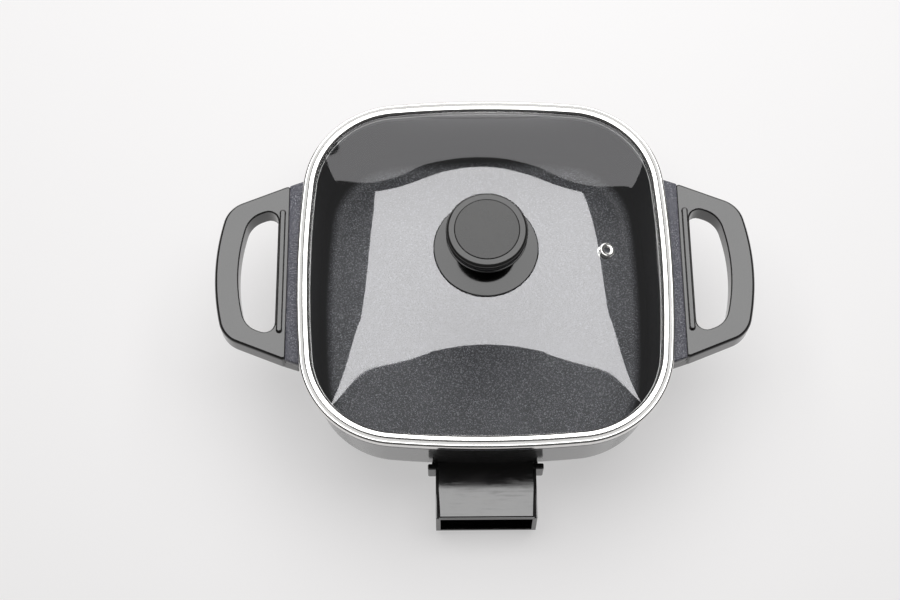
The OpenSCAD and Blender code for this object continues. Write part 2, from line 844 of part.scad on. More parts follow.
module knob_cap() {
    color([0.15, 0.15, 0.15]) translate([0, 0, knob_z1 - cap_sunk - cap_t])
        rotate_extrude($fn = arc_fn) polygon([
            [0, 0], [cap_r, 0], [cap_r, cap_t - cap_edge], [cap_r - cap_edge, cap_t], [0, cap_t]
        ]);
}

// A flat ring round the knob's screw
module ring(z, r, h) {
    translate([0, 0, z]) difference() {
        cylinder(h = h, r = r, $fn = round_fn);
        translate([0, 0, -1])
            cylinder(h = h + 2, r = knob_screw_r + knob_screw_clear, $fn = round_fn);
    }
}

module knob_gasket_upper() {
    color([0.2, 0.2, 0.2]) ring(land_z, gasket_r, gasket_t);
}

module knob_gasket_lower() {
    color([0.2, 0.2, 0.2]) ring(land_z - glass_t - gasket_t, gasket_r, gasket_t);
}

module knob_screw_washer() {
    color([0.75, 0.75, 0.74])
        ring(land_z - glass_t - gasket_t - washer_t, washer_r, washer_t);
}

module knob_screw() {
    seat = land_z - glass_t - gasket_t - washer_t;
    color([0.75, 0.75, 0.74]) translate([0, 0, seat])
        screw(length = knob_z0 + knob_screw_in - seat, r = knob_screw_r);
}

// --- the assembly in its frame ---

frame_y = (shroud_y + shroud_lip - path_half - hem_out) / 2;

module placed(name) {
    translate([0, frame_y, 0]) children();
}

placed("pan") pan();
placed("heating_element") heating_element();
placed("terminal_pin_left") terminal_pin(-1);
placed("terminal_pin_right") terminal_pin(1);
placed("insulator_left") insulator(-1);
placed("insulator_right") insulator(1);
placed("sensor_sleeve") sensor_sleeve();
placed("probe_shroud") probe_shroud();
placed("shroud_screws") shroud_screws();
placed("handle_left") handle_left();
placed("handle_right") handle_right();
placed("handle_screws") handle_screws();
placed("foot_front_left") foot(-1, -1);
placed("foot_front_right") foot(1, -1);
placed("foot_back_left") foot(-1, 1);
placed("foot_back_right") foot(1, 1);
placed("foot_screws") foot_screws();
placed("lid_glass") lid_glass();
placed("lid_rim") lid_rim();
placed("vent_eyelet") vent_eyelet();
placed("knob") knob();
placed("knob_cap") knob_cap();
placed("knob_skirt") knob_skirt();
placed("knob_gasket_upper") knob_gasket_upper();
placed("knob_gasket_lower") knob_gasket_lower();
placed("knob_screw_washer") knob_screw_washer();
placed("knob_screw") knob_screw();
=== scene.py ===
# %% [markdown]
# # A square electric skillet under its glass lid
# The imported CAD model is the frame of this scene: it fixes every size and
# place. The script dresses it. Large glossy pieces, whose facets would show in
# a reflection, are modelled again as smooth meshes, and small hidden ones keep
# their CAD mesh and only get a finish.

# %% Load the frame
from math import acos, atan2, cos, degrees, hypot, pi, radians, sin, sqrt, tan

import bmesh
import bpy
from mathutils import Matrix, Vector


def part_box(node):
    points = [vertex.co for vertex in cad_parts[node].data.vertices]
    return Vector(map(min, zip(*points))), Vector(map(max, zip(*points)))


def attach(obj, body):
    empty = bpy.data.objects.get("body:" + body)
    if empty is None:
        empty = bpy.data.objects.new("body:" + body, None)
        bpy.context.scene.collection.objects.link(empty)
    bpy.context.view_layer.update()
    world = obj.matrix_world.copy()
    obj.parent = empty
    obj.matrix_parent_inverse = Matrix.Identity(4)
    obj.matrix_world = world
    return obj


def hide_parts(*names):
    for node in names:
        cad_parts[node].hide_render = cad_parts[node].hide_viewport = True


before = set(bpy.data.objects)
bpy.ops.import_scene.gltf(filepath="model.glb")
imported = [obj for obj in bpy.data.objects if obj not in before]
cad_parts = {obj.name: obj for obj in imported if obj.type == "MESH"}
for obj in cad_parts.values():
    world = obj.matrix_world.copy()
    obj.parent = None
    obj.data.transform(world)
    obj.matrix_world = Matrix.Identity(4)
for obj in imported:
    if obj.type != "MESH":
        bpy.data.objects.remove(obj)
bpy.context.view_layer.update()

# %% [markdown]
# ## Where things are
# A drawing of a pan is made round its middle and in millimetres, so the meshes
# are too. One helper at the end moves each of them back by the distance between
# the middle of the pan and the middle of the whole object, and makes it metres.
# The four heights are those that several pieces share.

# %% Places and units
MM = 0.001
rim_low, rim_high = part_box("lid_rim")
pan_y = (rim_low.y + rim_high.y) / 2
TO_FRAME = Matrix.Translation((0, pan_y, 0)) @ Matrix.Scale(MM, 4)
TO_PAN = TO_FRAME.inverted()

rim_z = 112
flange_z = 106
floor_z = 32
base_z = 28.2
print("the middle of the pan lies", round(pan_y / MM, 2), "mm behind the origin")

# %% [markdown]
# ## Camera
# The photograph looks steeply down from in front. The camera's direction is
# written as a pitch below the horizon, a small yaw and a small roll, and the
# three axes of the camera follow from them by cross products. That keeps each
# angle readable, where a set of Euler angles would mix them.

# %% Camera
camera_data = bpy.data.cameras.new("camera")
camera_data.sensor_width = 36
camera_data.lens = 64
camera = bpy.data.objects.new("camera", camera_data)
bpy.context.scene.collection.objects.link(camera)
bpy.context.scene.camera = camera

camera_at = (-0.0341, -0.48155, 1.282)
pitch, yaw, roll = radians(68.009), radians(0.736), radians(0.319)
ahead = Vector((sin(yaw) * cos(pitch), cos(yaw) * cos(pitch), -sin(pitch)))
level = Vector((cos(yaw), -sin(yaw), 0))
above = level.cross(ahead)
across = cos(roll) * level + sin(roll) * above
upright = cos(roll) * above - sin(roll) * level
camera.matrix_world = (
    Matrix.Translation(camera_at)
    @ Matrix((across, upright, -ahead)).transposed().to_4x4()
)
print("camera", tuple(round(c, 3) for c in camera.location), "lens", camera_data.lens)

# %% [markdown]
# ## Shader arithmetic
# A procedural finish is a sum of noises and masks. Writing it with single nodes
# takes a line for each plus and times, so a small class wraps a socket and lets
# Python's operators add the Math nodes. Everything else comes from one method,
# `node`, which sets a node's properties first and then its sockets.

# %% A socket that can be added and multiplied
class Flow:
    """A number or colour that varies over a surface."""

    def __init__(self, finish, socket):
        self.finish, self.socket = finish, socket

    def _math(self, operation, first, second):
        return self.finish.node("ShaderNodeMath", {"operation": operation}, {0: first, 1: second})

    def __add__(self, other):
        return self._math("ADD", self, other)

    def __rsub__(self, other):
        return self._math("SUBTRACT", other, self)

    def __mul__(self, other):
        return self._math("MULTIPLY", self, other)

    def __truediv__(self, other):
        return self._math("DIVIDE", self, other)

    def __gt__(self, other):
        return self._math("GREATER_THAN", self, other)

    def __lt__(self, other):
        return self._math("LESS_THAN", self, other)

    __radd__, __rmul__ = __add__, __mul__

    def between(self, low, high):
        """0 below low, 1 above high, and a soft step between them."""
        return self.finish.node(
            "ShaderNodeMapRange",
            {"interpolation_type": "SMOOTHSTEP", "clamp": True},
            {"Value": self, "From Min": low, "From Max": high},
        )


class Finish:
    """A material or world and the nodes that make its surface."""

    def __init__(self, owner):
        owner.use_nodes = True
        self.owner, self.tree = owner, owner.node_tree
        self.tree.nodes.clear()

    def node(self, kind, settings=None, inputs=None, output=0):
        node = self.tree.nodes.new(kind)
        for name, value in (settings or {}).items():
            setattr(node, name, value)
        for name, value in (inputs or {}).items():
            if isinstance(value, Flow):
                self.tree.links.new(value.socket, node.inputs[name])
            else:
                node.inputs[name].default_value = value
        return Flow(self, node.outputs[output])

    def place(self):
        """Object coordinates, in metres, for every pattern."""
        return self.node("ShaderNodeTexCoord", output="Object")

    def stretched(self, x):
        """Object coordinates scaled across, which draws a pattern out into streaks."""
        return self.node("ShaderNodeMapping", {}, {"Vector": self.place(), "Scale": (x, 1, 1)})

    def axis(self, vector, name):
        return self.node("ShaderNodeSeparateXYZ", {}, {"Vector": vector}, output=name)

    def ray(self, kind):
        """1 where the surface is met by that kind of ray, else 0."""
        return self.node("ShaderNodeLightPath", output=kind)

    def noise(self, per_mm, detail=2.0, rough=0.5, place=None):
        return self.node(
            "ShaderNodeTexNoise", {},
            {"Vector": place or self.place(), "Scale": per_mm / MM, "Detail": detail,
             "Roughness": rough},
        )

    def colour_mix(self, share, first, second):
        """A colour between two, by Mix, because a Math node would turn it grey."""
        return self.node(
            "ShaderNodeMix", {"data_type": "RGBA"}, {0: share, 6: first, 7: second}, output=2)

    def bump(self, height, depth_mm):
        return self.node(
            "ShaderNodeBump", {}, {"Height": height, "Distance": depth_mm * MM, "Strength": 1.0},
            output="Normal")

    def surface(self, **inputs):
        """A Principled surface; the names are its sockets' with underscores."""
        names = {name.replace("_", " "): value for name, value in inputs.items()}
        return self.out(self.node("ShaderNodeBsdfPrincipled", {}, names))

    def out(self, shader):
        kind = "World" if isinstance(self.owner, bpy.types.World) else "Material"
        end = self.tree.nodes.new("ShaderNodeOutput" + kind)
        self.tree.links.new(shader.socket, end.inputs["Surface"])
        return self.owner


def grey(value, warm=0.0):
    """A neutral colour, a little warm or cool."""
    return (value * (1 + warm), value, value * (1 - warm), 1)


print("shader helpers ready")

# %% [markdown]
# ## Softbox
# One large softbox above and behind the skillet lights everything. It is the
# bright shape that the glass reflects, so its size, place and slight tilt matter
# more than its strength.

# %% Softbox
scene = bpy.context.scene
scene.view_settings.view_transform = "Standard"

softbox_data = bpy.data.lights.new("softbox", "AREA")
softbox_data.shape = "RECTANGLE"
softbox_data.size, softbox_data.size_y = 1.77, 1.74
softbox_data.energy = 32
softbox = bpy.data.objects.new("softbox", softbox_data)
softbox.location = (0.036, 0.670, 1.315)
softbox.rotation_euler.x = radians(-5.6)
softbox.visible_camera = False
scene.collection.objects.link(softbox)
print("studio lit by", round(softbox_data.energy), "W")

# %% [markdown]
# ## Floor and surroundings
# A pale sheet of paper catches the shadow. Half of what is seen of it is its own
# glow, so that it stays pale under a light that suits the object. The world is
# pale for the camera. For reflections it holds a white backdrop behind the
# skillet, bounded by how far it reaches up and to each side for its distance,
# and the dark of a studio beside it.

# %% Floor and world
floor_half = 3
glow_share = 0.505
paper = Finish(bpy.data.materials.new("paper"))
matt_paper = paper.node("ShaderNodeBsdfPrincipled", {}, {
    "Base Color": (0.80, 0.79, 0.79, 1), "Roughness": 0.9, "Specular IOR Level": 0.1,
    "Normal": paper.bump(paper.noise(0.4, 3), 0.02),
})
glow = paper.node("ShaderNodeEmission", {}, {"Color": (1.0, 0.99, 0.99, 1)})
seen_by = (
    paper.ray("Is Camera Ray") + paper.ray("Is Glossy Ray") + paper.ray("Is Transmission Ray"))
paper.out(paper.node("ShaderNodeMixShader", {}, {0: glow_share * seen_by, 1: matt_paper, 2: glow}))

floor_bm = bmesh.new()
bmesh.ops.create_grid(floor_bm, x_segments=1, y_segments=1, size=floor_half)
floor_mesh = bpy.data.meshes.new("floor")
floor_bm.to_mesh(floor_mesh)
floor_bm.free()
floor_mesh.materials.append(paper.owner)
floor = bpy.data.objects.new("floor", floor_mesh)
scene.collection.objects.link(floor)

world = Finish(bpy.data.worlds.new("studio"))
scene.world = world.owner
direction = world.node("ShaderNodeTexCoord", output="Generated")
sideways, behind, upward = (world.axis(direction, name) for name in "XYZ")
reach_up, reach_left, reach_right = 0.70, -0.75, 0.92
backdrop = (
    (behind > 0.05)
    * (upward / behind < reach_up)
    * (sideways / behind < reach_right)
    * (sideways / behind > reach_left)
)
mirrored = world.colour_mix(backdrop, grey(0.11), grey(1.0))
unseen = world.colour_mix(world.ray("Is Glossy Ray"), grey(0.05), mirrored)
sky = world.colour_mix(world.ray("Is Camera Ray"), unseen, grey(0.93))
world.out(world.node("ShaderNodeBackground", {}, {"Color": sky}))
print("floor", 2 * floor_half, "m wide")

# %% [markdown]
# ## Making pieces
# Each piece is drawn in a bmesh and then handed to `piece`, which merges
# doubled points, turns the faces outwards, moves the mesh to the frame, smooths
# it up to a crease angle and puts it on its CAD body. Where a broad flat face
# ends in a narrow bevel, weighted normals keep the flat face flat to the eye.

# %% From a drawing to a piece
def piece(name, bm, finish, body, nodes=(), crease=35, weighted=False):
    bmesh.ops.remove_doubles(bm, verts=bm.verts, dist=0.01)
    bmesh.ops.recalc_face_normals(bm, faces=bm.faces)
    bmesh.ops.transform(bm, matrix=TO_FRAME, verts=bm.verts)
    mesh = bpy.data.meshes.new(name)
    bm.to_mesh(mesh)
    bm.free()
    mesh.shade_smooth()
    mesh.set_sharp_from_angle(angle=radians(crease))
    mesh.materials.append(finish)
    obj = bpy.data.objects.new(name, mesh)
    scene.collection.objects.link(obj)
    if weighted:
        obj.modifiers.new("flat_faces_stay_flat", "WEIGHTED_NORMAL").keep_sharp = True
        apply_modifiers(obj)
    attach(obj, body)
    if nodes:
        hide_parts(*nodes)
    print(name, len(obj.data.polygons), "faces")
    return obj


def apply_modifiers(obj):
    """Turns what the modifiers show into the object's own mesh."""
    shown = obj.evaluated_get(bpy.context.evaluated_depsgraph_get())
    mesh = bpy.data.meshes.new_from_object(shown)
    obj.modifiers.clear()
    obj.data = mesh


# %% [markdown]
# ## Drawing helpers
# A turned part is a profile spun round an axis, and a moulded one is mostly
# prisms with bevelled edges. A profile is written as corners, each with its own
# radius, as a drawing gives them, and `rounded` puts in the arcs.

# %% Profiles, lathe and block
def rounded(corners, closed=False, steps=5):
    """Points along a line that bends at (x, y, radius) corners."""
    points = []
    last = len(corners) - 1
    for i, (x, y, radius) in enumerate(corners):
        tip = Vector((x, y))
        if not radius or (not closed and i in (0, last)):
            points.append(tip)
            continue
        back = (Vector(corners[i - 1][:2]) - tip).normalized()
        on = (Vector(corners[(i + 1) % len(corners)][:2]) - tip).normalized()
        half = back.angle(on) / 2
        centre = tip + (back + on).normalized() * radius / sin(half)
        start = (tip + back * radius / tan(half) - centre).normalized()
        end = (tip + on * radius / tan(half) - centre).normalized()
        points += [centre + radius * start.slerp(end, k / steps) for k in range(steps + 1)]
    return points


def arc(centre, radius, start, end, steps):
    return [
        (centre[0] + radius * cos(start + (end - start) * k / steps),
         centre[1] + radius * sin(start + (end - start) * k / steps))
        for k in range(steps + 1)
    ]


def rectangle(x0, y0, x1, y1):
    return [(x0, y0), (x1, y0), (x1, y1), (x0, y1)]


def verts_of(geom):
    return [g for g in geom if isinstance(g, bmesh.types.BMVert)]


def edges_of(geom):
    return [g for g in geom if isinstance(g, bmesh.types.BMEdge)]


def chain(bm, points, closed=False):
    """Vertices joined into a line, with its edges."""
    verts = [bm.verts.new(p) for p in points]
    ends = verts[1:] + verts[:1] if closed else verts[1:]
    return verts + [bm.edges.new(pair) for pair in zip(verts, ends)]


def extrude_ring(bm, edges):
    """A new ring of vertices and edges, joined to the old one by faces."""
    grown = bmesh.ops.extrude_edge_only(bm, edges=edges)["geom"]
    verts = verts_of(grown)
    return verts, [e for e in edges_of(grown) if all(v in verts for v in e.verts)]


def lathe(bm, profile, steps=96, closed=False, place=Matrix()):
    """Spins a profile of (radius, height) points round the Z axis."""
    old = set(bm.verts)
    line = chain(bm, [(r, 0, z) for r, z in profile], closed)
    bmesh.ops.spin(
        bm, geom=line, cent=(0, 0, 0), axis=(0, 0, 1), angle=2 * pi, steps=steps,
        use_merge=True, use_duplicate=False,
    )
    new = [v for v in bm.verts if v not in old]
    bmesh.ops.remove_doubles(bm, verts=new, dist=0.001)
    new = [v for v in bm.verts if v not in old]
    bmesh.ops.transform(bm, matrix=place, verts=new)


def block(bm, outline, low, high, edge=0.4, segments=3, place=Matrix()):
    """A prism on a plan outline, from one height to another, edges bevelled."""
    old = set(bm.verts)
    base = bm.faces.new([bm.verts.new((x, y, low)) for x, y in outline])
    top = bmesh.ops.extrude_face_region(bm, geom=[base])["geom"]
    bmesh.ops.translate(bm, verts=verts_of(top), vec=(0, 0, high - low))
    new = [v for v in bm.verts if v not in old]
    bmesh.ops.recalc_face_normals(bm, faces=list({f for v in new for f in v.link_faces}))
    bmesh.ops.bevel(
        bm, geom=list({e for v in new for e in v.link_edges}), offset=edge,
        offset_type="OFFSET", affect="EDGES", segments=segments, profile=0.5, material=-1,
    )
    new = [v for v in bm.verts if v not in old]
    bmesh.ops.transform(bm, matrix=place, verts=new)


print("drawing helpers ready")

# %% [markdown]
# ## The plan outline
# Pan, band and glass share one outline: a square with bowed sides and round
# corners, all arcs that meet in line. Scaling a circle or subdividing a box
# would bring the corners close, but the bright band would show every wobble.
# So a section is spun round the eight centres of the arcs in turn. The centres
# lie on a right triangle with whole sides, 44, 483 and 485, so the arcs meet
# exactly. A section that lies a distance outside the outline keeps the centres.

# %% Sweep round the outline
path_half = 141.2
corner_r = 69.9
short_leg, long_leg, slant = 44, 483, 485
unit = (path_half - corner_r) / (slant + short_leg - long_leg)
corner_c = short_leg * unit
side_r = slant * unit + corner_r
side_k = side_r - path_half
side_turn = atan2(short_leg, long_leg)
side_steps, corner_steps = 10, 28


def sweep_outline(bm, section, closed=False):
    """Spins a section of (offset, height) points round the plan outline."""
    old = set(bm.verts)
    lean = Matrix.Rotation(-side_turn, 3, "Z")
    first = [
        lean @ Vector((side_r + out, 0, z)) - Vector((side_k, 0, 0)) for out, z in section
    ]
    ring = chain(bm, first, closed)
    for quarter in range(4):
        turn = Matrix.Rotation(quarter * pi / 2, 3, "Z")
        for centre, angle, steps in (
            ((-side_k, 0, 0), 2 * side_turn, side_steps),
            ((corner_c, corner_c, 0), pi / 2 - 2 * side_turn, corner_steps),
        ):
            ring = bmesh.ops.spin(
                bm, geom=ring, cent=turn @ Vector(centre), axis=(0, 0, 1), angle=angle,
                steps=steps, use_merge=False, use_duplicate=False,
            )["geom_last"]
    new = [v for v in bm.verts if v not in old]
    bmesh.ops.remove_doubles(bm, verts=new, dist=0.02)


def offset_at(x, y):
    """How far a point lies outside the plan outline."""
    far, near = max(abs(x), abs(y)), min(abs(x), abs(y))
    if atan2(near, far + side_k) < side_turn:
        return hypot(far + side_k, near) - side_r
    return hypot(far - corner_c, near - corner_c) - corner_r


print("outline: corner centres", round(corner_c, 2), "side radius", round(side_r, 1))

# %% [markdown]
# ## The casting's coating
# The pan is cast aluminium. Inside it has a charcoal nonstick coating with light
# flecks. Flecks and a lighter, bluer tint are drawn only on the faces that face
# up, the floor, the flange and the lugs, where the light from above falls, so
# they are partly the coating's own and partly painted light. The steep walls are
# painted almost black as shade. Outside it has a smooth enamel. A mark painted
# on the mesh says which points lie outside, and flecks are the peaks of a fine
# noise, so that they differ in size.

# %% Coating
def casting_coating(name, ground, fleck):
    finish = Finish(bpy.data.materials.new(name))
    outside = finish.node("ShaderNodeAttribute", {"attribute_name": "outer_skin"}, output="Fac")
    height = finish.axis(finish.place(), "Z")
    top = height.between((flange_z - 7) * MM, (flange_z - 2) * MM)
    # the floor ends in the fillet, where the painted shade of the walls begins
    on_floor = 1 - height.between((floor_z + 0.2) * MM, (floor_z + 5) * MM)
    flat = on_floor + top
    grain = finish.noise(1.2, 3, 0.7)
    # flecks only on the faces that the light falls on, partly standing for glints
    flecks = grain.between(0.53, 0.64) * flat * (1 - outside)
    cloud = finish.noise(0.03, 2).between(0.35, 0.7)
    floor_coat = finish.colour_mix(
        cloud, (ground, ground, 1.12 * ground, 1), (1.3 * ground, 1.3 * ground, 1.45 * ground, 1))
    # the flange and lug tops: partly a bluer tint of their own, partly painted light
    lit_coat = finish.colour_mix(top, floor_coat, (1.1 * ground, 1.1 * ground, 1.4 * ground, 1))
    # painted shade: every face that does not face up, the steep walls, gets a near black colour
    coat_with_painted_shade = finish.colour_mix(flat, grey(0.12 * ground), lit_coat)
    speckled = finish.colour_mix(flecks, coat_with_painted_shade, (fleck, fleck, 1.1 * fleck, 1))
    return finish.surface(
        Base_Color=finish.colour_mix(outside, speckled, grey(0.014)),
        Roughness=0.50 - 0.14 * flat + 0.12 * flecks,
        Normal=finish.bump(grain * flat * (1 - outside), 0.05),
        Coat_Weight=outside,
        Coat_Roughness=0.12,
        IOR=1.3,
    )


pan_coating = casting_coating("pan_coating", ground=0.050, fleck=0.34)
print("coating made")

# %% [markdown]
# ## Pan
# The bowl is one section, from the floor up the drafted wall, over the rolled
# flange and down outside, swept round the outline. The outside has less draft
# than the inside, so the wall thickens downwards. The two openings left in the
# middle are filled with flat floors. Lugs are blocks that run into the casting,
# as cast details do.

# %% Pan
mouth = 2.8
pan_wall, pan_draft, skin_draft = 3.8, radians(7), radians(5.5)
skin_out = mouth + pan_wall / cos(pan_draft)
flange_t, flange_out = 4.4, 8.3
flange_under = flange_z - flange_t
floor_fillet, base_fillet = 16, 15
floor_edge = -26


def wall_at(z):
    """Offset of the inner wall at a height."""
    return mouth - (flange_z - z) * tan(pan_draft)


def skin_at(z):
    """Offset of the outer wall at a height."""
    return skin_out - (flange_z - z) * tan(skin_draft)


pan_bm = bmesh.new()
sweep_outline(pan_bm, rounded([
    (floor_edge, floor_z, 0),
    (wall_at(floor_z), floor_z, floor_fillet),
    (mouth, flange_z, 0.6),
    (flange_out, flange_z, 2.1),
    (flange_out, flange_under, 2.1),
    (skin_at(flange_under), flange_under, 0.8),
    (skin_at(base_z), base_z, base_fillet),
    (floor_edge, base_z, 0),
], steps=7))
for level_z in (floor_z, base_z):
    rim = [e for e in pan_bm.edges if e.is_boundary and abs(e.verts[0].co.z - level_z) < 0.1]
    bmesh.ops.edgeloop_fill(pan_bm, edges=rim)

seam_x, seam_half = 158, 75.2
lug_x, lug_half, lug_t = 143.6, 80.4, 8
lug_end = seam_x - 0.3
for side in (-1, 1):
    block(pan_bm, [(lug_x, -lug_half), (lug_end, -seam_half), (lug_end, seam_half),
                   (lug_x, lug_half)],
          flange_z - lug_t, flange_z, 0.9, place=Matrix.Scale(side, 4, (1, 0, 0)))
print("bowl and lugs", len(pan_bm.faces), "faces")

# %% [markdown]
# ## Underside of the pan
# The heating element lies half sunk in a rib that runs in a square loop and out
# to the socket. The rib is one section that is pushed along the straights and
# spun round the bends, and the second half is its mirror image. Round bosses
# take the screws of the feet and of the socket, and a block holds the sensor.

# %% Element rib
element_z = base_z - 4.2
groove_r, rib_half = 4.1, 6.5
pin_x = 33.3 / 2
loop_half, loop_bend, neck_bend, neck_end = 76, 28, 14, -118
straight = loop_half - loop_bend
neck_y = -loop_half - neck_bend
rib_bm = bmesh.new()
groove = [(groove_r * sin(a), element_z + groove_r * cos(a), 0)
          for a in (radians(90 - 15 * k) for k in range(13))]
rib_section = rounded(
    [(rib_half, base_z + 1, 0), (rib_half, element_z, 0.8)] + groove
    + [(-rib_half, element_z, 0.8), (-rib_half, base_z + 1, 0)], closed=True, steps=3)


def push(ring, x, y):
    """Pulls the rib's end along a straight."""
    verts, edges = extrude_ring(rib_bm, edges_of(ring))
    bmesh.ops.translate(rib_bm, verts=verts, vec=(x, y, 0))
    return verts + edges


def bend(ring, x, y, angle):
    """Spins the rib's end round a bend."""
    return bmesh.ops.spin(
        rib_bm, geom=ring, cent=(x, y, 0), axis=(0, 0, 1), angle=radians(angle),
        steps=14, use_merge=False, use_duplicate=False,
    )["geom_last"]


ring = chain(rib_bm, [(pin_x + out, neck_end, z) for out, z in rib_section], closed=True)
bmesh.ops.edgeloop_fill(rib_bm, edges=edges_of(ring))
ring = push(ring, 0, neck_y - neck_end)
ring = bend(ring, pin_x + neck_bend, neck_y, -90)
ring = push(ring, straight - neck_bend - pin_x, 0)
ring = bend(ring, straight, -straight, 90)
ring = push(ring, 0, 2 * straight)
ring = bend(ring, straight, straight, 90)
push(ring, -straight, 0)
bmesh.ops.mirror(
    rib_bm, geom=list(rib_bm.verts) + list(rib_bm.edges) + list(rib_bm.faces),
    axis="X", merge_dist=0.01)
rib_mesh = bpy.data.meshes.new("rib")
rib_bm.to_mesh(rib_mesh)
rib_bm.free()
pan_bm.from_mesh(rib_mesh)
print("element rib", len(rib_mesh.polygons), "faces")

# %% Bosses, and the casting as a piece
tab_x, tab_y = 36, -113
foot_at = 85
block(pan_bm, rectangle(-8.5, -122, 8.5, -92), element_z - 8.5, base_z + 1, 1.2)
bosses = [(tab_x * sx, tab_y, 13, 6) for sx in (-1, 1)]
bosses += [(foot_at * sx, foot_at * sy, 20, 8.5) for sx in (-1, 1) for sy in (-1, 1)]
for x, y, low, radius in bosses:
    lathe(pan_bm, rounded([
        (0, low, 0), (radius, low, 0.4), (radius, base_z, 1.2), (radius + 2, base_z + 0.3, 0),
        (0, base_z + 0.3, 0),
    ], steps=4), 40, place=Matrix.Translation((x, y, 0)))
casting = piece("pan_casting", pan_bm, pan_coating, "skillet", ["pan"])

outer_skin = casting.data.attributes.new("outer_skin", "FLOAT", "POINT")
skin_top, half_wall = 101.3, 1.5
for vertex, mark in zip(casting.data.vertices, outer_skin.data):
    x, y, z = TO_PAN @ vertex.co
    beyond_wall = z < skin_top and offset_at(x, y) > wall_at(z) + half_wall
    mark.value = float(z < floor_z - 1 or beyond_wall)
print("points outside:", sum(mark.value > 0 for mark in outer_skin.data))

# %% [markdown]
# ## Black plastics
# Handles, knob and socket are moulded phenolic or nylon. They are near black
# with a fine moulded texture, and the gloss does the work: a slow noise in the
# roughness keeps broad faces from looking like one flat mirror, and the socket,
# which the control slides over, is scuffed from side to side.

# %% Plastics
def plastic(name, base, shine, index=1.5, warm=0.03, scuffed=0.0):
    finish = Finish(bpy.data.materials.new(name))
    grain = finish.noise(2.5, 2, 0.6)
    wear = finish.noise(0.05, 3).between(0.3, 0.7)
    scuffs = finish.noise(0.5, 3, 0.6, finish.stretched(0.09)).between(0.48, 0.68)
    return finish.surface(
        Base_Color=finish.colour_mix(wear, grey(base, warm), grey(1.4 * base, warm)),
        Roughness=shine + 0.05 * wear + scuffed * scuffs,
        Normal=finish.bump(grain, 0.002),
        IOR=index,
    )


handle_plastic = plastic("handle_plastic", 0.010, 0.09, 1.75)
knob_plastic = plastic("knob_plastic", 0.010, 0.08, 1.6)
cap_plastic = plastic("cap_plastic", 0.012, 0.16, 1.5)
shroud_plastic = plastic("shroud_plastic", 0.008, 0.09, 1.95, warm=0.06, scuffed=0.10)
foot_plastic = plastic("foot_plastic", 0.015, 0.55)
gasket_rubber = plastic("gasket_rubber", 0.02, 0.7)
print("plastics made")

# %% [markdown]
# ## Polished steel
# The band round the glass is a strip of stainless steel, folded and polished.
# Polished steel is a mirror that is a little smeared and hardly ever quite
# flat, so the finish is metallic, almost smooth, and only slightly uneven.

# %% Steel
def steel(name, tone, rough):
    finish = Finish(bpy.data.materials.new(name))
    smear = finish.noise(0.05, 3).between(0.3, 0.7)
    return finish.surface(
        Base_Color=(tone, 0.99 * tone, 0.97 * tone, 1), Metallic=1.0,
        Roughness=rough + 0.08 * smear,
        Normal=finish.bump(finish.noise(0.25, 2), 0.003),
    )


polished_steel = steel("polished_steel", 0.80, 0.08)
# painted reflection: a steel far darker than the polished one, so that the step shows grey; its
# roughness is a satin finish
shaded_satin_steel = steel("shaded_satin_steel", 0.22, 0.22)
dull_steel = steel("dull_steel", 0.45, 0.30)
print("steels made")

# %% [markdown]
# ## Steel band of the lid
# Its section is one closed line: the bead that presses on the glass, a step of
# rougher steel, the rounded hem and the fold under the glass. The step's dark
# tone is painted reflection, for the darker surroundings that it mirrors. A black
# seal fills the fold and shows as a thin dark lip along the bead, and under it
# hangs the tongue that centres the lid on the pan.

# %% Band
band_bm = bmesh.new()
section = rounded([
    (0.2, -0.75, 0), (0.2, 0.62, 0.5), (2.1, 0.98, 6.0), (4.0, 0.52, 0.5), (4.2, 0.0, 0.12),
    (6.3, -0.12, 0.1), (6.5, 0.0, 0.1), (8.8, -0.05, 1.9), (8.8, -5.8, 0.25),
    (8.0, -5.8, 0.25), (8.0, -1.9, 0.5), (5.7, -1.9, 0.2), (5.7, -5.8, 0.2),
    (4.9, -5.8, 0.2), (4.9, -0.75, 0.1),
], closed=True, steps=4)
sweep_outline(band_bm, [(out, rim_z + z) for out, z in section], closed=True)
band = piece("lid_band", band_bm, polished_steel, "lid", ["lid_rim"])

band.data.materials.append(shaded_satin_steel)
# the step's top faces take the darker steel, as painted reflection
step_from, step_to, step_low = 4.15, 6.3, rim_z - 0.6
for face in band.data.polygons:
    x, y, z = TO_PAN @ face.center
    if z > step_low and step_from < offset_at(x, y) < step_to:
        face.material_index = 1

# %% Seal and tongue
seal_bm = bmesh.new()
sweep_outline(seal_bm, rounded([
    (-0.7, rim_z - 5.8, 0.2), (4.9, rim_z - 5.8, 0.2), (4.9, rim_z - 4.85, 0.2),
    (-0.7, rim_z - 4.85, 0.2),
], closed=True, steps=3), closed=True)
sweep_outline(seal_bm, rounded([
    (-1.05, rim_z - 0.85, 0), (0.3, rim_z - 0.85, 0), (0.3, rim_z - 0.35, 0),
    (-1.0, rim_z - 0.45, 0.2),
], closed=True, steps=3), closed=True)
piece("band_seal", seal_bm, gasket_rubber, "lid")

tongue_bm = bmesh.new()
sweep_outline(tongue_bm, rounded([
    (-2.1, rim_z - 4.85, 0.35), (-1.1, rim_z - 4.85, 0.35), (-1.1, rim_z - 9, 0.3),
    (-2.1, rim_z - 9, 0.3),
], closed=True, steps=4), closed=True)
piece("band_tongue", tongue_bm, dull_steel, "lid")

# %% [markdown]
# ## Glass
# Tempered glass 4 mm thick shows almost nothing but its reflections. A
# refracting shader would hold the lamp's light back from the pan below, so the
# glass is see-through mixed with a mirror by Fresnel: weak where it is seen
# head on, strong at the shoulders. The mirror counts only on faces that look at
# the viewer, with an index that stands for both faces of the sheet.

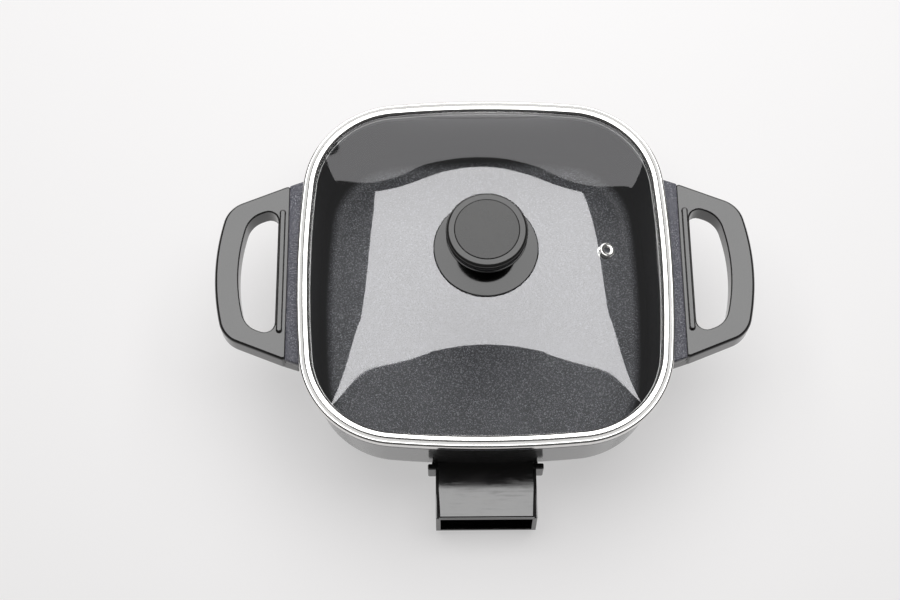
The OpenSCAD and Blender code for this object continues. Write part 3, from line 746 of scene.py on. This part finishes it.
# %% Clear glass
def clear_glass():
    finish = Finish(bpy.data.materials.new("clear_glass"))
    mirror = finish.node("ShaderNodeFresnel", {}, {"IOR": 2.17})
    back = finish.node("ShaderNodeNewGeometry", output="Backfacing")
    through = finish.node("ShaderNodeBsdfTransparent", {}, {"Color": (0.975, 0.98, 0.98, 1)})
    gloss = finish.node(
        "ShaderNodeBsdfGlossy", {}, {"Color": (0.985, 0.98, 1.0, 1), "Roughness": 0.02})
    return finish.out(
        finish.node("ShaderNodeMixShader", {}, {0: mirror * (1 - back), 1: through, 2: gloss}))


glass_finish = clear_glass()
print("glass mirror share comes from Fresnel")

# %% [markdown]
# ## Domed lid
# Slumped glass sags into its mould as a shallow crown with tighter shoulders.
# The sheet starts as the outline itself, which is drawn in towards the middle
# ring by ring. Each ring then rises to the height that the dome has there, and
# a copy lowered by the thickness makes the inside.

# %% Dome
crown_z = rim_z + 39.2
glass_edge_z = rim_z - 0.8
glass_edge_out = 4.6
glass_t = 4
glass_flat = path_half - 0.2
flat_share = glass_flat / (path_half + glass_edge_out)
land_share = 0.09
knob_hole = 4.2
shoulder = 7.3


def sag(x, y):
    """How far the crown has fallen at a point, the half width counted as 1."""
    return 1.11 * (x * x + y * y) - 0.735 * (x ** 4 + y ** 4) + 0.15 * (x * y) ** 2


def dome(x, y, share):
    """Height above a point that lies a share of the way out to the edge (x, y)."""
    fall = sag(share * x, share * y) + (1 - sag(x, y)) * share ** shoulder
    return crown_z - (crown_z - glass_edge_z) * fall


land_z = dome(1, 0, land_share)
glass_bm = bmesh.new()
sweep_outline(glass_bm, [(glass_edge_out, glass_edge_z)])
ring_edges = list(glass_bm.edges)
rings = 44
share_before = 1
for i in range(rings + 1):
    share = flat_share * (land_share + (1 - land_share) * cos(pi / 2 * i / rings))
    ring_verts, ring_edges = extrude_ring(glass_bm, ring_edges)
    for v in ring_verts:
        edge = v.co.xy / share_before
        v.co.xy = edge * share
        v.co.z = dome(*(edge * flat_share / glass_flat), share / flat_share)
    share_before = share
for v in ring_verts:
    v.co.xy = v.co.xy.normalized() * knob_hole

sheet = list(glass_bm.verts) + list(glass_bm.edges) + list(glass_bm.faces)
copied = bmesh.ops.duplicate(glass_bm, geom=sheet)["geom"]
bmesh.ops.translate(glass_bm, verts=verts_of(copied), vec=(0, 0, -glass_t))
for is_hole in (True, False):
    open_edges = [
        e for e in glass_bm.edges
        if e.is_boundary and (e.verts[0].co.xy.length < knob_hole + 1) == is_hole]
    bmesh.ops.bridge_loops(glass_bm, edges=open_edges)
lid_dome = piece("lid_dome", glass_bm, glass_finish, "lid", ["lid_glass"])
print("dome", round(crown_z - rim_z, 1), "mm above the rim")

# %% [markdown]
# ## Handles
# Each handle is a loop like a D. Its outer and inner lines are both made of the
# same five arcs, so they have the same number of points. Bridging them gives
# the flat top, which is extruded down, and the edges are bevelled: crisp above,
# round below where the fingers hold.

# %% Outline of a handle
def loop_outline(near, far_x, far_r, reach, bow):
    """A loop bowed at its far side, mirrored across the X axis."""
    bow_x = reach - bow
    far = (far_x, sqrt((bow - far_r) ** 2 - (far_x - bow_x) ** 2))
    gap = (far[0] - near[0], far[1] - near[1])
    lean = atan2(gap[1], gap[0]) + acos((near[2] - far_r) / hypot(*gap))
    meet = atan2(far[1], far[0] - bow_x)
    half = (arc((bow_x, 0), bow, 0, meet, 10)[:-1] + arc(far, far_r, meet, lean, 16)
            + arc(near, near[2], lean, pi, 6))
    return half + [(x, -y) for x, y in reversed(half)][:-1]


handle_x, handle_t, grip_w = 215.6, 21, 18.8
seam_r = 2.9
outer = loop_outline((seam_x + 1.6, seam_half - seam_r, seam_r), 187.1, 24, handle_x, 190)
inner = loop_outline((174.4, 44, 8), 173.7, 19, handle_x - grip_w, 150)
print("handle outline", len(outer), "points")

# %% Handles
under_z = flange_z - handle_t
# height, whether the edge is on the opening, size and segments of each bevel
bevels = ((flange_z, False, 2.6, 6), (flange_z, True, 1.6, 4), (under_z, None, 4.5, 6))
hole = {tuple(round(c, 3) for c in point) for point in inner}


def handle(side):
    bm = bmesh.new()
    lines = []
    for line in (outer, inner):
        lines += edges_of(chain(bm, [(x, y, flange_z) for x, y in line], closed=True))
    top = bmesh.ops.bridge_loops(bm, edges=lines)["faces"]
    sunk = bmesh.ops.extrude_face_region(bm, geom=top)["geom"]
    bmesh.ops.translate(bm, verts=verts_of(sunk), vec=(0, 0, -handle_t))
    bmesh.ops.recalc_face_normals(bm, faces=bm.faces)
    for z, on_hole, size, segments in bevels:
        edges = [
            e for e in bm.edges
            if all(abs(v.co.z - z) < 0.01 for v in e.verts) and e.calc_face_angle(0) > 1
            and (on_hole is None or on_hole == all(
                (round(v.co.x, 3), round(v.co.y, 3)) in hole for v in e.verts))
        ]
        bmesh.ops.bevel(
            bm, geom=edges, offset=size, offset_type="OFFSET", affect="EDGES",
            segments=segments, profile=0.5, material=-1, clamp_overlap=True,
        )
    # the tongue under the lug
    block(bm, [(147.6, -78.4), (160, -74.2), (160, 74.2), (147.6, 78.4)],
          under_z, flange_z - lug_t, 1)
    # the bead between the seam and the opening
    bead_x, bead_end, bead_r = 162.75, 50.55, 2.45
    bead = (arc((bead_x, bead_end), bead_r, 0, pi, 10)
            + arc((bead_x, -bead_end), bead_r, pi, 2 * pi, 10))
    block(bm, bead, flange_z - 1, flange_z + 2.4, 1.5, segments=5)
    bmesh.ops.transform(bm, matrix=Matrix.Scale(side, 4, (1, 0, 0)), verts=bm.verts)
    return bm


for name, side in (("left", -1), ("right", 1)):
    piece("handle_loop_" + name, handle(side), handle_plastic, "skillet",
          ["handle_" + name], weighted=True)

# %% [markdown]
# ## Knob
# Knob, cap and skirt are turned shapes, so each is a profile on the lathe. The
# fine lines of the knob, its two beads and the rounded ring above them, come
# from the profile's corners, each with its own small radius.

# %% Knob
knob_top = rim_z + 72
knob_base = land_z + 2.6
knob_r = 31.2
cap_seat = knob_top - 2.6
knob_bm = bmesh.new()
lathe(knob_bm, rounded([
    (0, knob_base, 0), (19.5, knob_base, 0.3), (19.5, knob_base + 0.9, 0.4),
    (15.3, knob_base + 5.2, 4.5), (15.0, knob_top - 18, 3), (24, knob_top - 14, 2),
    (29.0, knob_top - 12.6, 0.5), (31.0, knob_top - 12.2, 0.5), (31.0, knob_top - 10.8, 0.5),
    (30.2, knob_top - 10.6, 0.2), (30.2, knob_top - 6.4, 0.2), (31.1, knob_top - 6.2, 0.5),
    (31.1, knob_top - 4.8, 0.5), (30.5, knob_top - 4.6, 0.2), (30.5, knob_top - 4.2, 0.2),
    (knob_r, knob_top - 4.0, 0.3), (knob_r, knob_top - 0.4, 3.2), (24.9, knob_top - 0.4, 0.1),
    (24.75, cap_seat, 0.2), (0, cap_seat, 0),
], steps=6), 144)
piece("knob_body", knob_bm, knob_plastic, "lid", ["knob"], weighted=True)

# %% Cap and skirt
cap_bm = bmesh.new()
lathe(cap_bm, rounded([
    (0, cap_seat, 0), (24.7, cap_seat, 0.1), (24.85, knob_top, 0.9), (0, knob_top, 0),
], steps=5), 144)
piece("knob_disc", cap_bm, cap_plastic, "lid", ["knob_cap"])

skirt_r = 40.9
skirt_low = dome(1, 0, skirt_r / glass_flat) + 0.3
skirt_bm = bmesh.new()
lathe(skirt_bm, rounded([
    (2.7, land_z + 0.8, 0), (2.7, knob_base, 0), (19.6, knob_base, 1.5),
    (skirt_r - 0.3, skirt_low + 1.2, 1.1), (skirt_r, skirt_low, 0.2),
    (skirt_r - 1.6, skirt_low, 0.2), (20, land_z + 0.8, 4),
], closed=True, steps=6), 144, closed=True)
piece("knob_skirt_plate", skirt_bm, knob_plastic, "lid", ["knob_skirt"])

# %% [markdown]
# ## Vent
# The vent is a steel eyelet rolled over both faces of the glass. It leans with
# the dome, so its profile is turned on the lathe and then placed by the slope
# that the dome has at that point. A drill of the same placing cuts its hole in
# the glass, by a Boolean that is applied at once.

# %% Vent eyelet
vent_x, vent_y = 95, 3.2
vent_share = vent_x / glass_flat
vent_edge = (1, vent_y / vent_x)
step = 0.01
vent_lean = atan2(
    dome(*vent_edge, vent_share - step) - dome(*vent_edge, vent_share + step),
    2 * step * glass_flat,
)
at_vent = (
    Matrix.Translation((vent_x, vent_y, dome(*vent_edge, vent_share)))
    @ Matrix.Rotation(atan2(vent_y, vent_x), 4, "Z")
    @ Matrix.Rotation(vent_lean, 4, "Y")
)
vent_bm = bmesh.new()
lathe(vent_bm, rounded([
    (2.5, -5.0, 1.0), (2.5, 1.1, 1.2), (5.4, 1.1, 0.7), (6.5, 0.05, 0.2), (4.2, 0.05, 0.2),
    (4.2, -4.4, 0.2), (6.5, -4.5, 0.2), (5.4, -5.5, 0.7),
], closed=True, steps=4), 64, closed=True, place=at_vent)
piece("vent_ring", vent_bm, polished_steel, "lid", ["vent_eyelet"])
print("vent leans", round(degrees(vent_lean), 1), "degrees")

# %% Hole of the vent
drill_r, drill_half = 4.3, 12
drill_bm = bmesh.new()
lathe(drill_bm, [(0, -drill_half), (drill_r, -drill_half), (drill_r, drill_half),
                 (0, drill_half)], 48, place=TO_FRAME @ at_vent)
drill_mesh = bpy.data.meshes.new("drill")
drill_bm.to_mesh(drill_mesh)
drill_bm.free()
drill = bpy.data.objects.new("drill", drill_mesh)
scene.collection.objects.link(drill)
cut = lid_dome.modifiers.new("vent_hole", "BOOLEAN")
cut.operation, cut.solver, cut.object = "DIFFERENCE", "EXACT", drill
apply_modifiers(lid_dome)
lid_dome.data.set_sharp_from_angle(angle=radians(35))
bpy.data.objects.remove(drill)
print("glass", len(lid_dome.data.polygons), "faces with its hole")

# %% [markdown]
# ## Control socket
# The shroud is a shallow box, open to the front, that a temperature control
# plugs into. It is moulded in one piece, so its walls are blocks with small
# bevels that run into each other: two side walls with leaning mouths, a top
# plate that slopes down to a thin lip, a floor, and ears and tabs that hold it
# on the pan.

# %% Socket shroud
shroud_top, shroud_z = rim_z - 70, 10
shroud_y, shroud_lip, shroud_back = 187, 1.9, 141.8
shroud_half, shroud_wall = 40.3, 3.7
shroud_inner = shroud_half - shroud_wall
plate_front, plate_under = 39.4, 38.4
ear_end, tab_r = 46.6, 7.5
endwise = Matrix(((1, 0, 0, 0), (0, 0, 1, 0), (0, 1, 0, 0), (0, 0, 0, 1)))
sidewise = Matrix(((0, 0, 1, 0), (1, 0, 0, 0), (0, 1, 0, 0), (0, 0, 0, 1)))
shroud_bm = bmesh.new()
for side in (-1, 1):
    wall = [(shroud_inner, shroud_z), (shroud_half, shroud_z), (shroud_half, shroud_top),
            (shroud_half - 0.9, shroud_top), (shroud_inner + 0.2, plate_front),
            (shroud_inner, plate_under)]
    block(shroud_bm, [(side * x, z) for x, z in wall], -shroud_y, -shroud_back, 0.35,
          place=endwise)
    ear_x = sorted((side * (shroud_inner + 1), side * ear_end))
    block(shroud_bm, rectangle(ear_x[0], -shroud_back - 5, ear_x[1], -shroud_back),
          shroud_top - 21, shroud_top, 1.3)
    middle = side * tab_x
    tab = arc((middle, tab_y), tab_r, 0, pi, 16)
    tab += [(middle - tab_r, -shroud_back - 1), (middle + tab_r, -shroud_back - 1)]
    block(shroud_bm, tab, shroud_z, shroud_z + 3, 0.4)
# the top plate and its lip, drawn as seen from the side
block(shroud_bm, [
    (-shroud_back + 1, plate_under), (-shroud_y, plate_under), (-shroud_y, shroud_top),
    (-shroud_y + 0.9, shroud_top), (-shroud_y + 2.2, plate_front - 0.2),
    (-shroud_back + 1, shroud_top - 0.4),
], -shroud_inner - 1.5, shroud_inner + 1.5, 0.3, place=sidewise)
block(shroud_bm, rectangle(-shroud_inner - 1, -shroud_y, shroud_inner + 1, -shroud_back),
      shroud_z, shroud_z + 2.4, 0.5)
# the mouth leans forward towards the table
for v in shroud_bm.verts:
    if v.co.y < -shroud_y + 1.5:
        v.co.y -= shroud_lip * (shroud_top - v.co.z) / (shroud_top - shroud_z)
piece("socket_shroud", shroud_bm, shroud_plastic, "skillet", ["probe_shroud"],
      weighted=True)

# %% [markdown]
# ## Small parts
# Screws, pins, beads, the sensing sleeve, the element, the feet and the gaskets
# keep their CAD meshes, because their shape is right and little of them shows.
# Plated steel is patchy where it was handled, the element's sheath is dull from
# heat, and the ceramic beads are chalky.

# %% Finishes of the small parts
def metal(name, colour, rough):
    finish = Finish(bpy.data.materials.new(name))
    patches = finish.noise(0.6, 3)
    darker = tuple(0.8 * c for c in colour[:3]) + (1,)
    return finish.surface(
        Base_Color=finish.colour_mix(patches.between(0.3, 0.7), colour, darker),
        Metallic=1.0, Roughness=rough + 0.15 * patches, Normal=finish.bump(patches, 0.02),
    )


def ceramic(name):
    finish = Finish(bpy.data.materials.new(name))
    chalk = finish.noise(0.8, 3)
    return finish.surface(
        Base_Color=finish.colour_mix(chalk.between(0.3, 0.7), grey(0.75, 0.04), grey(0.66, 0.05)),
        Roughness=0.55 + 0.2 * chalk, Normal=finish.bump(chalk, 0.03),
    )


small_parts = {
    metal("zinc_steel", (0.62, 0.62, 0.60, 1), 0.28): [
        "shroud_screws", "handle_screws", "foot_screws", "knob_screw", "knob_screw_washer",
        "sensor_sleeve"],
    metal("nickel_plate", (0.72, 0.70, 0.66, 1), 0.16): [
        "terminal_pin_left", "terminal_pin_right"],
    metal("element_sheath", (0.30, 0.28, 0.26, 1), 0.45): ["heating_element"],
    ceramic("ceramic_bead"): ["insulator_left", "insulator_right"],
    foot_plastic: ["foot_front_left", "foot_front_right", "foot_back_left", "foot_back_right"],
    gasket_rubber: ["knob_gasket_upper", "knob_gasket_lower"],
}
for finish, nodes in small_parts.items():
    for node in nodes:
        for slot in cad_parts[node].material_slots:
            slot.material = finish
print("finishes on", sum(map(len, small_parts.values())), "CAD nodes")
